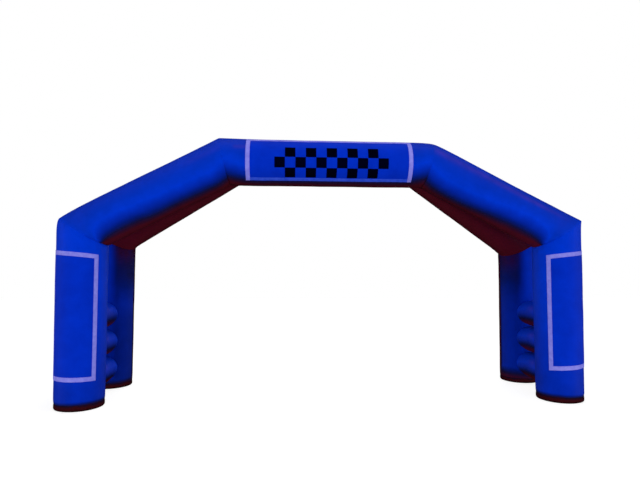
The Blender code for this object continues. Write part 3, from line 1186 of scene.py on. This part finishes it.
def printed_polyester(name, check=False):
    material = blank_material(name)
    tree = material.node_tree
    solid = add_node(tree, "ShaderNodeTexCoord").outputs["Object"]
    blotches = {"Vector": solid, "Scale": 5, "Detail": 4, "Roughness": 0.6}
    patches = add_node(tree, "ShaderNodeTexNoise", blotches).outputs["Fac"]
    stops = [(position, linear(blue)) for position, blue in zip((0.3, 0.7), PRINTED_BLUES)]
    ramp = add_node(tree, "ShaderNodeValToRGB", {"Fac": patches}, stops)
    colour = ramp.outputs["Color"]
    if check:
        cloth = add_node(tree, "ShaderNodeUVMap", uv_map="cloth").outputs["UV"]
        middle = (-CHECK_MIDDLE[0], -CHECK_MIDDLE[1], 0)
        centring = {"Vector": cloth, "Location": middle}
        centred = add_node(tree, "ShaderNodeMapping", centring)
        half = CHECK_SQUARE / 2
        shift = {"Vector": centred, "Location": (half, half, half)}
        shifted = add_node(tree, "ShaderNodeMapping", shift)
        squares = add_node(tree, "ShaderNodeTexChecker", {"Vector": shifted, "Scale": 1 / CHECK_SQUARE})
        away = add_node(tree, "ShaderNodeVectorMath", {0: centred}, operation="ABSOLUTE")
        sides = add_node(tree, "ShaderNodeSeparateXYZ", {0: away}).outputs
        inked = squares.outputs["Fac"]
        for axis, count in (("X", CHECK_COUNT[1]), ("Y", CHECK_COUNT[0])):
            reach = {0: sides[axis], 1: count * half}
            inside = add_node(tree, "ShaderNodeMath", reach, operation="LESS_THAN")
            inked = add_node(tree, "ShaderNodeMath", {0: inside, 1: inked}, operation="MULTIPLY")
        printed = {"Factor": inked, "A": colour, "B": linear(CHECK_INK)}
        colour = add_node(tree, "ShaderNodeMix", printed, data_type="RGBA").outputs["Result"]
    weave = {"Height": crossed_threads(tree), "Strength": 0.2, "Distance": 0.0005}
    woven = add_node(tree, "ShaderNodeBump", weave)
    shader = add_node(
        tree,
        "ShaderNodeBsdfPrincipled",
        {
            "Base Color": colour,
            "Roughness": 0.6,
            "IOR": 1.45,
            "Specular IOR Level": 0.12,
            "Specular Tint": SATIN,
            "Normal": woven,
        },
    )
    add_node(tree, "ShaderNodeOutputMaterial", {"Surface": shader})
    return material


# Grosgrain, ribbed from side to side: paler than the cloth and matt, with a sunken row of stitches
# along both of its edges.


def binding_tape(name, shade, light):
    material = blank_material(name)
    tree = material.node_tree
    solid = add_node(tree, "ShaderNodeTexCoord").outputs["Object"]
    blotches = {"Vector": solid, "Scale": 20, "Detail": 4, "Roughness": 0.6}
    patches = add_node(tree, "ShaderNodeTexNoise", blotches).outputs["Fac"]
    stops = [(0.3, linear(shade)), (0.7, linear(light))]
    ramp = add_node(tree, "ShaderNodeValToRGB", {"Fac": patches}, stops)
    cloth = add_node(tree, "ShaderNodeUVMap", uv_map="cloth").outputs["UV"]
    ribs, stitches = (
        add_node(
            tree,
            "ShaderNodeTexWave",
            {"Vector": cloth, "Scale": WAVE_PERIOD * 1000 / millimetres},
            bands_direction="Y",
        ).outputs["Fac"]
        for millimetres in (RIB_MM, STITCH_MM)
    )
    ribbed = add_node(tree, "ShaderNodeBump", {"Height": ribs, "Strength": 0.3, "Distance": 0.0008})
    flat = add_node(tree, "ShaderNodeSeparateXYZ", {0: cloth})
    across = add_node(tree, "ShaderNodeMath", {0: flat.outputs["X"]}, operation="ABSOLUTE")
    from_row = add_node(tree, "ShaderNodeMath", {0: across, 1: STITCH_ROW}, operation="SUBTRACT")
    off_row = add_node(tree, "ShaderNodeMath", {0: from_row}, operation="ABSOLUTE")
    row = add_node(tree, "ShaderNodeMapRange", {"Value": off_row, "From Max": STITCH_HALF_WIDTH})
    pulled = add_node(tree, "ShaderNodeMath", {0: row, 1: stitches}, operation="MAXIMUM")
    stitched = add_node(
        tree,
        "ShaderNodeBump",
        {"Height": pulled, "Strength": 0.8, "Distance": 0.0018, "Normal": ribbed},
    )
    shader = add_node(
        tree,
        "ShaderNodeBsdfPrincipled",
        {
            "Base Color": ramp.outputs["Color"],
            "Roughness": 0.7,
            "IOR": 1.45,
            "Specular IOR Level": 0.2,
            "Normal": stitched,
        },
    )
    add_node(tree, "ShaderNodeOutputMaterial", {"Surface": shader})
    return material


check_polyester = printed_polyester("polyester_printed_blue_with_check", check=True)
plain_polyester = printed_polyester("polyester_printed_blue")
pale_tape = binding_tape("grosgrain_woven_lavender", "#7674DC", "#8A88E8")
# The same tape, darker and bluer as painted shade, for the crossbeam banner's lower edge.
shaded_tape = binding_tape("grosgrain_woven_blue_painted_shade", "#1E44CC", "#3454E0")


def hang_banner(name, banner, material, nodes, tape_nodes, high_tape=pale_tape):
    """A banner on its tube, with strips of tape along its four edges."""
    low, high = banner.angles
    whole = ((0, 0), (1, 0))
    length = banner.distance(1, 0) - banner.distance(0, 0)
    width = math.radians(high - low) * (TUBE_RADIUS + STAND_OFF)
    shape = sheet_mesh(banner, whole, banner.angles, 0, BANNER_THICKNESS)
    piece = add_piece(f"{name}_sheet", shape, material)
    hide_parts(*nodes)
    above = BANNER_THICKNESS + SEAM_GAP
    turn = math.degrees(TAPE_WIDTH / TUBE_RADIUS)
    inner = ((0, TAPE_WIDTH + SEAM_GAP), (1, -TAPE_WIDTH - SEAM_GAP))
    side_length = length - 2 * TAPE_WIDTH - 2 * SEAM_GAP
    strips = {
        "foot": (((0, 0), (0, TAPE_WIDTH)), banner.angles, width),
        "head": (((1, -TAPE_WIDTH), (1, 0)), banner.angles, width),
        "low": (inner, (low, low + turn), side_length),
        "high": (inner, (high - turn, high), side_length),
    }
    for place, (run, angles, strip_length) in strips.items():
        shape = sheet_mesh(banner, run, angles, above, TAPE_THICKNESS)
        woven = high_tape if place == "high" else pale_tape
        tape = add_piece(f"{name}_tape_strip_{place}", shape, woven)
        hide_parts(tape_nodes.format(place))


BEAM_BANNER_ENDS = (-0.925, 0.955)
BEAM_BANNER_ANGLES = (-61, 60)

beam_ends = tuple(x + CORNER.x for x in BEAM_BANNER_ENDS)
# Its lower tape is darker and bluer, as painted shade.
hang_banner(
    "beam_banner",
    Banner(crossbeam, beam_ends, (0, 0), BEAM_BANNER_ANGLES),
    check_polyester,
    ["beam_banner"],
    "beam_tape_{}",
    shaded_tape,
)
LEG_BANNERS = {
    "right": ((0.37, 1.678), (0.0004, 0.0006), (-53, 65)),
    "left": ((0.309, 1.665), (0.0002, 0.0005), (-58, 65)),
}
for side, (heights, rises, angles) in LEG_BANNERS.items():
    leg = front_legs[side]
    slope = leg.axis.z
    ends = tuple(height - BAND_HEIGHT / slope for height in heights)
    hang_banner(
        f"leg_banner_{side}",
        Banner(leg, ends, rises, angles),
        plain_polyester,
        [f"leg_banner_{side}"],
        "leg_tape_{}_" + side,
    )
